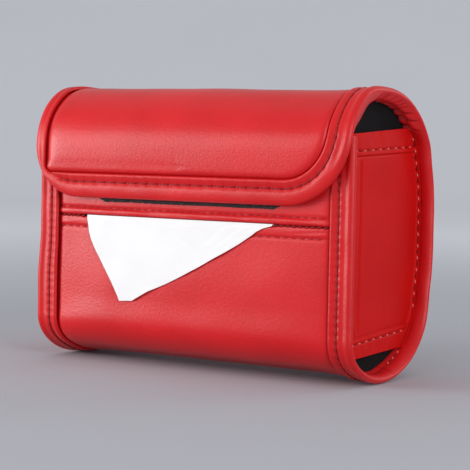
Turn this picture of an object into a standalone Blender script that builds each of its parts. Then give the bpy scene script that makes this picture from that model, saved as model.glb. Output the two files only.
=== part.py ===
"""A soft car tissue holder: a bound leatherette pouch with a hook-and-loop flap, a tissue slot and rear straps.

Metres, +Z up, +X to the holder's right when seen from the front, and the front towards -Y.
The origin is the middle of the flat strip across the back, where the holder lies against what carries it.
"""

import math

import bmesh
import bpy

# Overall size, over the bound edges
WIDTH = 0.200
DEPTH = 0.0918
HEIGHT = 0.153

# Side outline: the crest and the lowest line, measured back from the front, the two front corners' heights, and
# the height of the back's flat strip, above and below which the back is one rounded corner each.
# A corner of curve share 1 is part of an ellipse, and one of a lower share is fuller.
CREST_BACK = 0.022
LOWEST_BACK = 0.039
TOP_FRONT_ROUND = 0.030
BOTTOM_FRONT_ROUND = 0.025
BACK_FLAT = 0.016
FRONT_CURVE_SHARE = 1
TOP_BACK_CURVE_SHARE = 0.85
BOTTOM_BACK_CURVE_SHARE = 0.975
ROUND_STEPS = 8
BACK_STEPS = 12
SMOOTH_ANGLE = math.radians(35)

# Sheets
LEATHER = 0.0011
PADDING = 0.0008
LINING = 0.0005
SIDE_CLOTH = 0.0008
GAP = 0.0003

# Folded binding strips
BINDING_LEG = 0.0133
BINDING_INNER_LEG = 0.0115
MOUTH_LEG = 0.010
MOUTH_INNER_LEG = 0.007
BINDING_ROUND = 0.0014
BINDING_ROUND_STEPS = 3

# Front wall: the mouth below the crest, the flap's edge below the crest, and the slot below the flap's edge
MOUTH_DROP = 0.026
FLAP_DROP = 0.0615
SLOT_DROP = 0.0102
SLOT_OPEN = 0.0011
SLOT_MARGIN_LEFT = 0.0167
SLOT_MARGIN_RIGHT = 0.0327
SLOT_TAPER = 0.003
FACING_HEIGHT = 0.009
FACING_MARGIN = 0.0005

# Flap
FLAP_STAND = 0.006
FLAP_CORNER_LEFT = 0.029
FLAP_CORNER_RIGHT = 0.038
CORNER_STEPS = 8
HINGE_TURN = math.radians(44)
PADDING_MARGIN = 0.005

# Hook-and-loop tape
TAPE_MARGIN = 0.0285
TAPE_THICK = 0.0009
LOOP_HEIGHT = 0.020
LOOP_SHOWING = 0.0022
HOOK_HEIGHT = 0.018
HOOK_RISE = 0.005
TAPE_ROUND = 0.0015
TAPE_ROUND_STEPS = 3

# Gussets
RECESS = 0.009
GUSSET_DROP = 0.023
GUSSET_LIFT = 0.0145
FLANGE = 0.0022
CLOTH_TOP_GAP = 0.002

# Tissues
SHEET_THICK = 0.0005
SHEET_SLACK = 0.0005
SHEET_INSIDE = 0.020
SHEET_BEND = 0.0009
SHEET_DROP = 0.0452
SHEET_CORNER_LEFT = 0.025
SHEET_CORNER_WIDTH = 0.0088
SHEET_STAND = 0.0012
SHEET_WAVE = 0.0006
SHEET_ROWS = 12
SHEET_COLUMNS = 14
STACK_SPACE = 0.0013
STACK_THICK = 0.030
STACK_OVER = 0.004
STACK_ROUND = 0.006
STACK_HEADROOM = 0.014

# Rear straps and their patches
STRAP_WIDTH = 0.025
STRAP_THICK = 0.0015
STRAP_LENGTH = 0.106
STRAP_SPACING = 0.110
STRAP_LIFT = 0.0052
STRAP_RISE = 0.019
STRAP_STEPS = 5
PATCH_HEIGHT = 0.014
PATCH_OVER = 0.001

# Stiffener in the back
BOARD_HEIGHT = 0.090

# Where the layers lie, as depths below the bindings' outer faces
HALF_WIDTH = WIDTH / 2
LEATHER_AT = LEATHER + GAP
PADDING_AT = LEATHER_AT + LEATHER + GAP
LINING_AT = PADDING_AT + PADDING + GAP
INSIDE_AT = LINING_AT + LINING
INNER_LEG_AT = LEATHER_AT + LEATHER + GAP
BINDING_THICK = INNER_LEG_AT + LEATHER
GUSSET_AT = BINDING_THICK + GAP

# Heights and the outline's own places, from the middle of the back
TOP = HEIGHT / 2
BOTTOM = -TOP
BACK = LEATHER_AT
FRONT = BACK - DEPTH
MOUTH = TOP - MOUTH_DROP
FLAP_EDGE = TOP - FLAP_DROP
SLOT = FLAP_EDGE - SLOT_DROP
SLOT_LEFT = BINDING_LEG + SLOT_MARGIN_LEFT - HALF_WIDTH
SLOT_RIGHT = HALF_WIDTH - BINDING_LEG - SLOT_MARGIN_RIGHT

# Half widths of what lies inside the bindings
PANEL_HALF = HALF_WIDTH - LEATHER - 2 * GAP
INNER_HALF = HALF_WIDTH - BINDING_INNER_LEG - GAP
GUSSET_FACE = HALF_WIDTH - RECESS
CLOTH_FACE = GUSSET_FACE - LEATHER - GAP

RED = (0.62, 0.025, 0.03, 1.0)
DARK_RED = (0.50, 0.018, 0.022, 1.0)
BLACK = (0.012, 0.012, 0.013, 1.0)
GREY = (0.05, 0.045, 0.045, 1.0)
FOAM = (0.55, 0.53, 0.48, 1.0)
BOARD = (0.35, 0.28, 0.20, 1.0)
WHITE = (0.9, 0.9, 0.9, 1.0)


def clear_scene():
    for item in list(bpy.data.objects):
        bpy.data.objects.remove(item, do_unlink=True)


def material(name, colour, roughness):
    made = bpy.data.materials.new(name)
    made.use_nodes = True
    shader = made.node_tree.nodes["Principled BSDF"]
    shader.inputs["Base Color"].default_value = colour
    shader.inputs["Roughness"].default_value = roughness
    shader.inputs["Metallic"].default_value = 0
    return made


def add_object(name, mesh, colour, roughness):
    mesh.materials.append(material(name + "_material", colour, roughness))
    item = bpy.data.objects.new(name, mesh)
    bpy.data.collections["car_tissue_holder"].objects.link(item)
    return item


def thicken(item, thickness, offset):
    """Solid from an open surface: offset -1 grows it behind the faces, 0 to both sides."""
    solidify = item.modifiers.new("thickness", "SOLIDIFY")
    solidify.thickness = thickness
    solidify.offset = offset
    solidify.use_even_offset = True


def skin(name, rows, colour, roughness):
    """One open surface over rows of points, each row with as many points as the next."""
    bm = bmesh.new()
    made = [[bm.verts.new(point) for point in row] for row in rows]
    for near, far in zip(made, made[1:]):
        for i in range(len(near) - 1):
            bm.faces.new((near[i], near[i + 1], far[i + 1], far[i]))
    mesh = bpy.data.meshes.new(name)
    bm.to_mesh(mesh)
    bm.free()
    mesh.shade_smooth()
    mesh.set_sharp_from_angle(angle=SMOOTH_ANGLE)
    return add_object(name, mesh, colour, roughness)


def plate(name, points, colour, roughness):
    """One flat face round a closed outline."""
    bm = bmesh.new()
    bm.faces.new([bm.verts.new(point) for point in points])
    mesh = bpy.data.meshes.new(name)
    bm.to_mesh(mesh)
    bm.free()
    return add_object(name, mesh, colour, roughness)


def rounded_box(name, low, high, radius, steps, colour, roughness):
    bm = bmesh.new()
    bmesh.ops.create_cube(bm, size=1)
    size = [b - a for a, b in zip(low, high)]
    middle = [(a + b) / 2 for a, b in zip(low, high)]
    bmesh.ops.scale(bm, vec=size, verts=bm.verts)
    bmesh.ops.translate(bm, vec=middle, verts=bm.verts)
    mesh = bpy.data.meshes.new(name)
    bm.to_mesh(mesh)
    bm.free()
    item = add_object(name, mesh, colour, roughness)
    bevel = item.modifiers.new("rounding", "BEVEL")
    bevel.width = radius
    bevel.segments = steps


# The side outline

def straight(start, end, normal):
    return [(*start, *normal), (*end, *normal)]


def powered(value, power):
    return math.copysign(abs(value) ** power, value)


def quarter(centre, reach_y, reach_z, curve_share, turn_from, turn_to, steps):
    """Part of a superellipse in the side view: points with their outward normals."""
    made = []
    for i in range(steps + 1):
        turn = turn_from + (turn_to - turn_from) * i / steps
        across, up = math.cos(turn), math.sin(turn)
        y = centre[0] + reach_y * powered(across, curve_share)
        z = centre[1] + reach_z * powered(up, curve_share)
        normal_y = powered(across, 2 - curve_share) * reach_z
        normal_z = powered(up, 2 - curve_share) * reach_y
        length = math.hypot(normal_y, normal_z)
        made.append((y, z, normal_y / length, normal_z / length))
    return made


def measured(*stretches):
    """The stretches as one outline, each point with its length along it."""
    points = []
    for stretch in stretches:
        for point in stretch:
            if not points:
                points.append((0, *point))
                continue
            step = math.hypot(point[0] - points[-1][1], point[1] - points[-1][2])
            if step > GAP:
                points.append((points[-1][0] + step, *point))
    return points


def outline():
    """From the mouth's edge down the front, round the bottom, up the back, over the top and down to the flap's edge."""
    crest, lowest = FRONT + CREST_BACK, FRONT + LOWEST_BACK
    flap_front = FRONT - FLAP_STAND
    low_front, low_back = BOTTOM + BOTTOM_FRONT_ROUND, -BACK_FLAT / 2
    high_back, high_front = BACK_FLAT / 2, TOP - TOP_FRONT_ROUND
    half = math.pi / 2
    fold = measured(
        straight((FRONT, MOUTH), (FRONT, low_front), (-1, 0)),
        quarter((lowest, low_front), LOWEST_BACK, BOTTOM_FRONT_ROUND, FRONT_CURVE_SHARE,
                2 * half, 3 * half, ROUND_STEPS),
        quarter((lowest, low_back), BACK - lowest, low_back - BOTTOM, BOTTOM_BACK_CURVE_SHARE,
                3 * half, 4 * half, BACK_STEPS),
        straight((BACK, low_back), (BACK, high_back), (1, 0)),
        quarter((crest, high_back), BACK - crest, TOP - high_back, TOP_BACK_CURVE_SHARE,
                0, HINGE_TURN, ROUND_STEPS))
    whole = measured(
        [point[1:] for point in fold],
        quarter((crest, high_back), BACK - crest, TOP - high_back, TOP_BACK_CURVE_SHARE,
                HINGE_TURN, half, ROUND_STEPS),
        quarter((crest, high_front), crest - flap_front, TOP_FRONT_ROUND, FRONT_CURVE_SHARE,
                half, 2 * half, ROUND_STEPS),
        straight((flap_front, high_front), (flap_front, FLAP_EDGE), (-1, 0)))
    return whole, fold[-1][0]


OUTLINE, FOLD = outline()
END = OUTLINE[-1][0]


def place(along, depth):
    """The side view's point at a length along the outline and a depth below it."""
    for near, far in zip(OUTLINE, OUTLINE[1:]):
        if along <= far[0] or far is OUTLINE[-1]:
            break
    share = (along - near[0]) / (far[0] - near[0])
    y, z, normal_y, normal_z = (a + (b - a) * share for a, b in zip(near[1:], far[1:]))
    length = math.hypot(normal_y, normal_z)
    return y - depth * normal_y / length, z - depth * normal_z / length


def stops(start, end):
    """Lengths along the outline where it bends, with both ends."""
    inside = [point[0] for point in OUTLINE if start + GAP < point[0] < end - GAP]
    return [start, *inside, end]


def along_front(height):
    """The length along the outline of a height on the front wall."""
    return MOUTH - height


def lowest_along():
    """The length along the outline of its lowest line."""
    return min(OUTLINE, key=lambda point: point[2])[0]


def crest_along():
    """The length along the outline of its highest line."""
    return max(OUTLINE, key=lambda point: point[2])[0]


def edge_y(height, depth, front):
    """How far back a layer at a depth stands at a height, on the front wall or the back."""
    span = stops(0, lowest_along()) if front else stops(lowest_along(), crest_along())
    points = [place(along, depth) for along in span]
    for near, far in zip(points, points[1:]):
        if min(near[1], far[1]) <= height <= max(near[1], far[1]):
            share = (height - near[1]) / (far[1] - near[1])
            return near[0] + (far[0] - near[0]) * share
    return points[0][0]


# Sheets that follow the outline

def wrap_sheet(name, starts, ends, depth, thickness, colour, roughness):
    """A sheet along the outline; starts and ends map each column's X to a length along it."""
    columns = sorted(starts, reverse=True)
    inner = stops(max(starts.values()), min(ends.values()))[1:-1]
    rows = []
    for i in range(len(inner) + 2):
        row = []
        for x in columns:
            along = starts[x] if i == 0 else ends[x] if i == len(inner) + 1 else inner[i - 1]
            row.append((x, *place(along, depth)))
        rows.append(row)
    thicken(skin(name, rows, colour, roughness), thickness, -1)


def level(along, half_width):
    return {-half_width: along, half_width: along}


def slot_lip(side, half_width, setback):
    """A lip's length along the outline at each column: side -1 for the upper lip, 1 for the lower one."""
    sewn = along_front(SLOT) + side * (GAP / 2 + setback)
    free = along_front(SLOT) + side * (SLOT_OPEN / 2 + setback)
    return {-half_width: sewn, SLOT_LEFT - SLOT_TAPER: sewn, SLOT_LEFT: free,
            SLOT_RIGHT: free, SLOT_RIGHT + SLOT_TAPER: sewn, half_width: sewn}


def flap_sheet(name, inset, start, depth, thickness, colour, roughness):
    """A sheet of the flap, its free corners rounded, held in from the flap's edge by an inset."""
    end = END - inset
    half = HALF_WIDTH - inset
    left, right = (max(corner - inset, GAP) for corner in (FLAP_CORNER_LEFT, FLAP_CORNER_RIGHT))
    marks = set(stops(start, end))
    for radius in (left, right):
        for i in range(CORNER_STEPS + 1):
            marks.add(end - radius * (1 - math.sin(math.pi / 2 * i / CORNER_STEPS)))
    rows = []
    for along in thinned(sorted(marks)):
        x_left = corner_draw(along, end, left) - half
        x_right = half - corner_draw(along, end, right)
        rows.append([(x_right, *place(along, depth)), (x_left, *place(along, depth))])
    thicken(skin(name, rows, colour, roughness), thickness, -1)


def thinned(marks):
    """Marks without those that nearly coincide; the last one stays."""
    kept = [marks[0]]
    for mark in marks[1:-1]:
        if mark - kept[-1] > GAP and marks[-1] - mark > GAP:
            kept.append(mark)
    return [*kept, marks[-1]]


def corner_draw(along, end, radius):
    """How far a rounded corner draws the sheet's side in."""
    into = max(0, along - (end - radius))
    return radius - math.sqrt(max(0, radius * radius - into * into))


# Folded bindings

def binding_section(leg, inner_leg):
    """The strip's outer face across the edge: distances in from the edge, with depths."""
    rounding = []
    for i in range(BINDING_ROUND_STEPS + 1):
        turn = math.pi / 2 * i / BINDING_ROUND_STEPS
        rounding.append((BINDING_ROUND * (1 - math.sin(turn)), BINDING_ROUND * (1 - math.cos(turn))))
    under = [(inward, BINDING_THICK - depth) for inward, depth in reversed(rounding)]
    return [(leg, 0), *rounding, *under, (inner_leg, BINDING_THICK)]


def binding(name, edge, leg, inner_leg, colour, roughness):
    """A folded strip over an edge; the edge is (x, length along, inward x, inward length)."""
    rows = []
    for x, along, in_x, in_along in edge:
        rows.append([(x + in_x * inward, *place(along + in_along * inward, depth))
                     for inward, depth in binding_section(leg, inner_leg)])
    thicken(skin(name, rows, colour, roughness), LEATHER, -1)


def side_edge(side, start, end):
    return [(side * HALF_WIDTH, along, -side, 0) for along in stops(start, end)]


def flap_rim():
    """The flap's edge, from the fold down its left side, along its bottom and up its right side."""
    rim = side_edge(-1, FOLD + GAP, END - FLAP_CORNER_LEFT)
    rim += rim_corner(-1, FLAP_CORNER_LEFT)
    rim += reversed(rim_corner(1, FLAP_CORNER_RIGHT))
    rim += reversed(side_edge(1, FOLD + GAP, END - FLAP_CORNER_RIGHT))
    return rim


def rim_corner(side, radius):
    made = []
    for i in range(1, CORNER_STEPS + 1):
        turn = math.pi / 2 * i / CORNER_STEPS
        made.append((side * (HALF_WIDTH - radius + radius * math.cos(turn)),
                     END - radius + radius * math.sin(turn),
                     -side * math.cos(turn), -math.sin(turn)))
    return made


# The pieces

def make_leather():
    lower = slot_lip(1, PANEL_HALF, 0)
    upper = slot_lip(-1, PANEL_HALF, 0)
    fold_end = level(FOLD - GAP, PANEL_HALF)
    wrap_sheet("wrap_panel", lower, shifted_to(lower, fold_end), LEATHER_AT, LEATHER, RED, 0.45)
    top = shifted_to(upper, level(LEATHER + 2 * GAP, PANEL_HALF))
    wrap_sheet("front_top_strip", top, upper, LEATHER_AT, LEATHER, RED, 0.45)


def shifted_to(columns, edge):
    """The edge's level at each of the columns' places."""
    return {x: next(iter(edge.values())) for x in columns}


def make_facings():
    half = INNER_HALF - GAP
    for name, side in (("slot_facing_upper", -1), ("slot_facing_lower", 1)):
        lip = slot_lip(side, half, 0)
        far = shifted_to(lip, level(along_front(SLOT) + side * FACING_HEIGHT, half))
        starts, ends = (far, lip) if side < 0 else (lip, far)
        wrap_sheet(name, starts, ends, PADDING_AT, PADDING, DARK_RED, 0.6)


def make_linings():
    half = INNER_HALF
    lower = slot_lip(1, half, FACING_MARGIN)
    wrap_sheet("body_lining", lower, shifted_to(lower, level(FOLD - 2 * GAP, half)),
               LINING_AT, LINING, BLACK, 0.85)
    upper = slot_lip(-1, half, FACING_MARGIN)
    top = shifted_to(upper, level(MOUTH_INNER_LEG + GAP, half))
    wrap_sheet("front_strip_lining", top, upper, LINING_AT, LINING, BLACK, 0.85)


def make_padding():
    half = INNER_HALF - PADDING_MARGIN
    start = along_front(SLOT) + FACING_HEIGHT + GAP
    wrap_sheet("front_padding", level(start, half), level(lowest_along(), half), PADDING_AT, PADDING, FOAM, 0.9)
    flat = [point[0] for point in OUTLINE if point[1] > BACK - GAP]
    middle = (flat[0] + flat[-1]) / 2
    wrap_sheet("back_board", level(middle - BOARD_HEIGHT / 2, half), level(middle + BOARD_HEIGHT / 2, half),
               PADDING_AT, PADDING, BOARD, 0.8)


def make_bindings():
    for name, side in (("body_binding_left", -1), ("body_binding_right", 1)):
        edge = side_edge(side, 0, FOLD - GAP)
        edge = edge if side < 0 else list(reversed(edge))
        binding(name, edge, BINDING_LEG, BINDING_INNER_LEG, RED, 0.4)
    reach = HALF_WIDTH - BINDING_LEG - GAP
    mouth = [(reach, 0, 0, 1), (-reach, 0, 0, 1)]
    binding("mouth_binding", mouth, MOUTH_LEG, MOUTH_INNER_LEG, RED, 0.4)


def make_flap():
    edge_inset = LEATHER + 2 * GAP
    flap_sheet("flap_panel", edge_inset, FOLD + GAP, LEATHER_AT, LEATHER, RED, 0.42)
    lining_inset = BINDING_INNER_LEG + GAP
    flap_sheet("flap_lining", lining_inset, FOLD + 2 * GAP, LINING_AT, LINING, BLACK, 0.85)
    flap_sheet("flap_padding", lining_inset + PADDING_MARGIN, FOLD + PADDING_MARGIN,
               PADDING_AT, PADDING, FOAM, 0.9)
    binding("flap_binding", flap_rim(), BINDING_LEG, BINDING_INNER_LEG, RED, 0.38)


def tape(name, low, height, face, colour):
    """A flat strip of tape with rounded corners; the face is its front side's Y."""
    half = HALF_WIDTH - BINDING_LEG - TAPE_MARGIN
    points = []
    for x, z, quarter_turn in ((half, low + height, 0), (-half, low + height, 1), (-half, low, 2), (half, low, 3)):
        centre_x = x - math.copysign(TAPE_ROUND, x)
        centre_z = z + (TAPE_ROUND if z == low else -TAPE_ROUND)
        for i in range(TAPE_ROUND_STEPS + 1):
            turn = math.pi / 2 * (quarter_turn + i / TAPE_ROUND_STEPS)
            points.append((centre_x + TAPE_ROUND * math.cos(turn), face, centre_z + TAPE_ROUND * math.sin(turn)))
    thicken(plate(name, points, colour, 0.95), TAPE_THICK, -1)


def make_tapes():
    loop_face = FRONT + LEATHER_AT - GAP - TAPE_THICK
    tape("loop_strip", FLAP_EDGE - LOOP_SHOWING, LOOP_HEIGHT, loop_face, GREY)
    hook_face = FRONT - FLAP_STAND + INSIDE_AT + GAP
    tape("hook_strip", FLAP_EDGE + HOOK_RISE, HOOK_HEIGHT, hook_face, BLACK)


def bends(low, high, start, depth):
    """The heights from low to high where a layer of the fixed wall bends, past a length along the outline."""
    marks = {low, high}
    for along in stops(start, FOLD):
        height = place(along, depth)[1]
        if low < height < high:
            marks.add(height)
    return thinned(sorted(marks))


def make_gussets():
    """A channel whose web closes the side and whose flanges turn out against the front and back walls."""
    web = GUSSET_FACE - LEATHER
    tip = web + LEATHER + FLANGE
    for name, side in (("gusset_left", -1), ("gusset_right", 1)):
        rows = []
        for height in bends(BOTTOM + GUSSET_LIFT, TOP - GUSSET_DROP, 0, GUSSET_AT):
            front = edge_y(min(height, MOUTH), GUSSET_AT, True)
            back = edge_y(height, GUSSET_AT, False)
            row = [(side * tip, front, height), (side * web, front, height),
                   (side * web, back, height), (side * tip, back, height)]
            rows.append(row if side < 0 else row[::-1])
        thicken(skin(name, rows, DARK_RED, 0.45), LEATHER, -1)


def make_side_cloths():
    """Cloth over each side, from the bottom fold to just under the flap's arch."""
    front = place(0, GUSSET_AT)[0]
    points = [place(along, GUSSET_AT) for along in stops(0, FOLD - GAP)]
    under_flap = BINDING_THICK + CLOTH_TOP_GAP
    arch = [place(along, under_flap) for along in stops(FOLD + CLOTH_TOP_GAP, END)]
    points += [point for point in arch if point[0] > front + GAP and point[1] > MOUTH]
    last = points[-1]
    beyond = next(point for point in arch if point[0] <= front + GAP)
    share = (front - last[0]) / (beyond[0] - last[0])
    points.append((front, last[1] + (beyond[1] - last[1]) * share))
    for name, side in (("side_cloth_left", -1), ("side_cloth_right", 1)):
        ring = [(side * CLOTH_FACE, y, z) for y, z in points]
        thicken(plate(name, ring if side > 0 else ring[::-1], BLACK, 0.9), SIDE_CLOTH, -1)


def stack_floor(front, back):
    """The lowest a stack with rounded edges can stand on the lining between two walls."""
    floor = BOTTOM
    layer = INSIDE_AT + GAP
    curve = [place(along, layer) for along in stops(along_front(SLOT), FOLD)]
    for near, far in zip(curve, curve[1:]):
        for y, z in (near, far):
            into = min(y - front, back - y)
            if 0 < into and z < MOUTH:
                round_in = max(0, STACK_ROUND - into)
                drop = STACK_ROUND - math.sqrt(STACK_ROUND * STACK_ROUND - round_in * round_in)
                floor = max(floor, z - drop)
    return floor


def make_tissues():
    front = FRONT + INSIDE_AT + STACK_SPACE
    back = front + STACK_THICK
    low = (SLOT_LEFT - STACK_OVER, front, stack_floor(front, back))
    high = (SLOT_RIGHT + STACK_OVER, back, MOUTH - STACK_HEADROOM)
    rounded_box("tissue_stack", low, high, STACK_ROUND, 2, WHITE, 0.9)
    make_hanging_sheet()


def sheet_path():
    """The sheet's side view: up inside the front wall, out through the slot and down over the lower lip."""
    inside = FRONT + INSIDE_AT + STACK_SPACE / 2
    outside = FRONT + LEATHER_AT - SHEET_SLACK - SHEET_THICK / 2
    bend, part_way = SHEET_BEND, SHEET_BEND * (1 - math.sqrt(2) / 2)
    return [(inside, SLOT - SHEET_INSIDE), (inside, SLOT - bend), (inside - part_way, SLOT - part_way),
            (inside - bend, SLOT), (outside + bend, SLOT), (outside + part_way, SLOT - part_way),
            (outside, SLOT - bend)]


def make_hanging_sheet():
    """One corner of a tissue; its hanging part narrows to a blunt tip and ripples a little."""
    left, right = SLOT_LEFT + SHEET_SLACK, SLOT_RIGHT - SLOT_TAPER / 2
    path = sheet_path()
    hang_y, hang_z = path[-1]
    rows = []
    for y, z in path:
        rows.append([(left + (right - left) * i / SHEET_COLUMNS, y, z) for i in range(SHEET_COLUMNS + 1)])
    for j in range(1, SHEET_ROWS + 1):
        fall = j / SHEET_ROWS
        x_left = left + SHEET_CORNER_LEFT * fall
        x_right = right + (left + SHEET_CORNER_LEFT + SHEET_CORNER_WIDTH - right) * fall
        z = hang_z - (SHEET_DROP - (SLOT - hang_z)) * fall
        row = []
        for i in range(SHEET_COLUMNS + 1):
            share = i / SHEET_COLUMNS
            ripple = SHEET_WAVE * math.sin(math.pi * 3 * share) * math.sin(math.pi * fall)
            stand = (SHEET_STAND + SHEET_WAVE) * math.sin(math.pi / 2 * fall)
            row.append((x_left + (x_right - x_left) * share, hang_y - stand - ripple, z))
        rows.append(row)
    thicken(skin("tissue_sheet", rows, WHITE, 0.9), SHEET_THICK, 0)


def wall_behind(height, outward):
    """How far back the wrap's back stands at a height, with a distance out from it."""
    return edge_y(height, LEATHER_AT - outward, False)


def strap_path(low, high):
    """A slack band's inner face: flat on the wall under its patches and standing off it between them."""
    made = [(wall_behind(z, GAP), z) for z in bends(low, low + PATCH_HEIGHT, lowest_along(), LEATHER_AT - GAP)]
    top = [(wall_behind(z, GAP), z) for z in bends(high - PATCH_HEIGHT, high, lowest_along(), LEATHER_AT - GAP)]
    for i in range(1, STRAP_STEPS + 1):
        z = low + PATCH_HEIGHT + STRAP_RISE * i / STRAP_STEPS
        made.append((raised(z, i / STRAP_STEPS), z))
    for i in range(STRAP_STEPS, 0, -1):
        z = high - PATCH_HEIGHT - STRAP_RISE * i / STRAP_STEPS
        made.append((raised(z, i / STRAP_STEPS), z))
    return made + top


def raised(height, share):
    """A place between the wall and the band's free stretch, on a smooth rise."""
    near = wall_behind(height, GAP)
    return near + (STRAP_LIFT - near) * (1 - math.cos(math.pi * share)) / 2


def make_straps():
    low, high = -STRAP_LENGTH / 2, STRAP_LENGTH / 2
    for word, side in (("left", -1), ("right", 1)):
        x = side * STRAP_SPACING / 2
        rows = [[(x - STRAP_WIDTH / 2, y, z), (x + STRAP_WIDTH / 2, y, z)] for y, z in strap_path(low, high)]
        thicken(skin("strap_" + word, rows, BLACK, 0.85), STRAP_THICK, -1)
        for end, z in (("lower", low), ("upper", high - PATCH_HEIGHT)):
            make_patch("strap_patch_" + word + "_" + end, x, z)


def make_patch(name, x, low):
    half = STRAP_WIDTH / 2 + PATCH_OVER
    outward = GAP + STRAP_THICK + GAP
    heights = bends(low, low + PATCH_HEIGHT, lowest_along(), LEATHER_AT - outward)
    rows = [[(x - half, wall_behind(z, outward), z), (x + half, wall_behind(z, outward), z)] for z in heights]
    thicken(skin(name, rows, RED, 0.42), LEATHER, -1)


def main():
    clear_scene()
    collection = bpy.data.collections.new("car_tissue_holder")
    bpy.context.scene.collection.children.link(collection)
    make_leather()
    make_facings()
    make_linings()
    make_padding()
    make_bindings()
    make_gussets()
    make_side_cloths()
    make_flap()
    make_tapes()
    make_tissues()
    make_straps()


main()
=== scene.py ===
import math
import random
from collections import namedtuple

import bpy
import numpy as np
from mathutils import Matrix, Vector


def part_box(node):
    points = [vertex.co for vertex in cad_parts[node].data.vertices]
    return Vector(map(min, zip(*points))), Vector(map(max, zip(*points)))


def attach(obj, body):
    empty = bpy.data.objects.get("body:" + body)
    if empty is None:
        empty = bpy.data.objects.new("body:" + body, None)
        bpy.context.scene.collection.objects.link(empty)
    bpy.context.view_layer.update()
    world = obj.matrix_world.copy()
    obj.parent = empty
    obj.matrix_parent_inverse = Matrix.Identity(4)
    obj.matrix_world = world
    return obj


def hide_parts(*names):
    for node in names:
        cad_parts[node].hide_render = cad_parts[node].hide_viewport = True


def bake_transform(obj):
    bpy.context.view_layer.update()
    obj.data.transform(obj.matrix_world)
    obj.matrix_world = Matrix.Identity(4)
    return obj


# The looks of a soft car tissue holder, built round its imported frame: +Z up, the front with its slot towards -Y.
# Shapes are in millimetres, which mesh_object turns into metres. Along is a length on the side outline, from the
# mouth; lift is the height above the bindings' outer face.

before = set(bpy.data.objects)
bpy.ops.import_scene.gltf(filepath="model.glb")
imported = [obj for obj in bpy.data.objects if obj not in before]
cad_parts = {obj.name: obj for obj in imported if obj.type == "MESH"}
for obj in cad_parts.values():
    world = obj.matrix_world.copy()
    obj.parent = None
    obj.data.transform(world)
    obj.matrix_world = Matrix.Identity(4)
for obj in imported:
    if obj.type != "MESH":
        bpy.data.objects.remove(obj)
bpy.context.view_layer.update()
MM = 0.001
Point = namedtuple("Point", "x y z")


def box(name):
    """A frame node's low and high corner."""
    return [Point(*(value / MM for value in corner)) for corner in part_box(name)]


def middle_and_half(low, high):
    return Point(*((a + b) / 2 for a, b in zip(low, high))), Point(*((b - a) / 2 for a, b in zip(low, high)))


# Places read from the frame
(_, FRONT, BOTTOM), (_, BACK, _) = box("body_binding_left")
(_, FLAP_FRONT, FLAP_EDGE), (_, _, TOP) = box("flap_binding")
HALF = box("body_binding_right")[1].x
MOUTH = box("mouth_binding")[1].z
SLOT = box("front_top_strip")[0].z - 0.15
SLOT_AT = MOUTH - SLOT
GUSSET_LOW, GUSSET_HIGH = box("gusset_right")

# The side outline's own sizes, as the part has them
CREST_BACK = 22
LOWEST_BACK = 39
TOP_FRONT_ROUND = 30
BOTTOM_FRONT_ROUND = 25
BACK_FLAT = 16
FRONT_CURVE_SHARE = 1
TOP_BACK_CURVE_SHARE = 0.85
BOTTOM_BACK_CURVE_SHARE = 0.975
HINGE_TURN = 44

# Layers: thicknesses, lifts and insets
LEATHER = 1.0
FOAM = 1.1
LINING = 0.5
PANEL_LIFT = -1.4
FOAM_LIFT = -2.6
LINING_LIFT = -3.95
LINING_INSET = 12
PADDING_INSET = 17

# Bindings
BINDING_REACH = 13.3
SLIM_REACH = 7.4
CORNER_LEFT = 29
CORNER_RIGHT = 38
PANEL_CORNER_LEFT = 5
PANEL_CORNER_RIGHT = CORNER_RIGHT - BINDING_REACH
STITCH_IN = 8.5
BODY_PITCH = 4.2
FLAP_PITCH = 7
INNER_PITCH = 6.4

# Slot
SLOT_LEFT = -70
SLOT_RIGHT = 54
SLOT_GAP = 0.55
LIP_ROUND = 0.9
UPPER_SEAM = 4.5
LOWER_SEAM = 6.1


# Numbers

def smooth(value, low, high):
    share = np.clip((value - low) / (high - low), 0, 1)
    return share * share * (3 - 2 * share)


def hump(value, low, top, fall, end):
    """Rises smoothly from 0 at low to 1 at top, and falls from fall to end."""
    return smooth(value, low, top) * (1 - smooth(value, fall, end))


def window(value, low, high, ramp):
    """1 from low to high, falling smoothly to 0 a ramp further out."""
    return hump(value, low - ramp, low, high, high + ramp)


def bell(value, middle, width):
    return np.exp(-((value - middle) / width) ** 2)


def unit(vectors):
    return vectors / np.maximum(np.linalg.norm(vectors, axis=-1, keepdims=True), 1e-12)


def waviness(a, b, length, seed):
    """A smooth uneven height between -1 and 1, with humps about a length apart."""
    draw = random.Random(seed)
    total = 0
    for _ in range(7):
        turn, phase = draw.uniform(0, 2 * math.pi), draw.uniform(0, 2 * math.pi)
        wave = 2 * math.pi / (length * draw.uniform(0.7, 1.9))
        total = total + np.sin(wave * (math.cos(turn) * a + math.sin(turn) * b) + phase)
    return total / 4


def powered(value, power):
    return np.copysign(np.abs(value) ** power, value)


def lengths(points):
    """The length along a line of points, at each of them."""
    return np.concatenate([[0], np.cumsum(np.hypot(*np.diff(points, axis=0).T))])


def kept_apart(values, gap):
    """Sorted values without those that follow their neighbour too closely."""
    return values[np.concatenate([[True], np.diff(values) > gap])]


# The side outline

def quarter(centre, reach, curve_share, turns):
    """A quarter of an oval, fuller with a smaller curve share: y, z and normal."""
    turn = np.radians(np.linspace(*turns, 48))
    across, up = np.cos(turn), np.sin(turn)
    y = centre[0] + reach[0] * powered(across, curve_share)
    z = centre[1] + reach[1] * powered(up, curve_share)
    normal = np.array([powered(across, 2 - curve_share) * reach[1], powered(up, 2 - curve_share) * reach[0]])
    return np.stack([y, z, *(normal / np.hypot(*normal))], 1)


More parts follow.
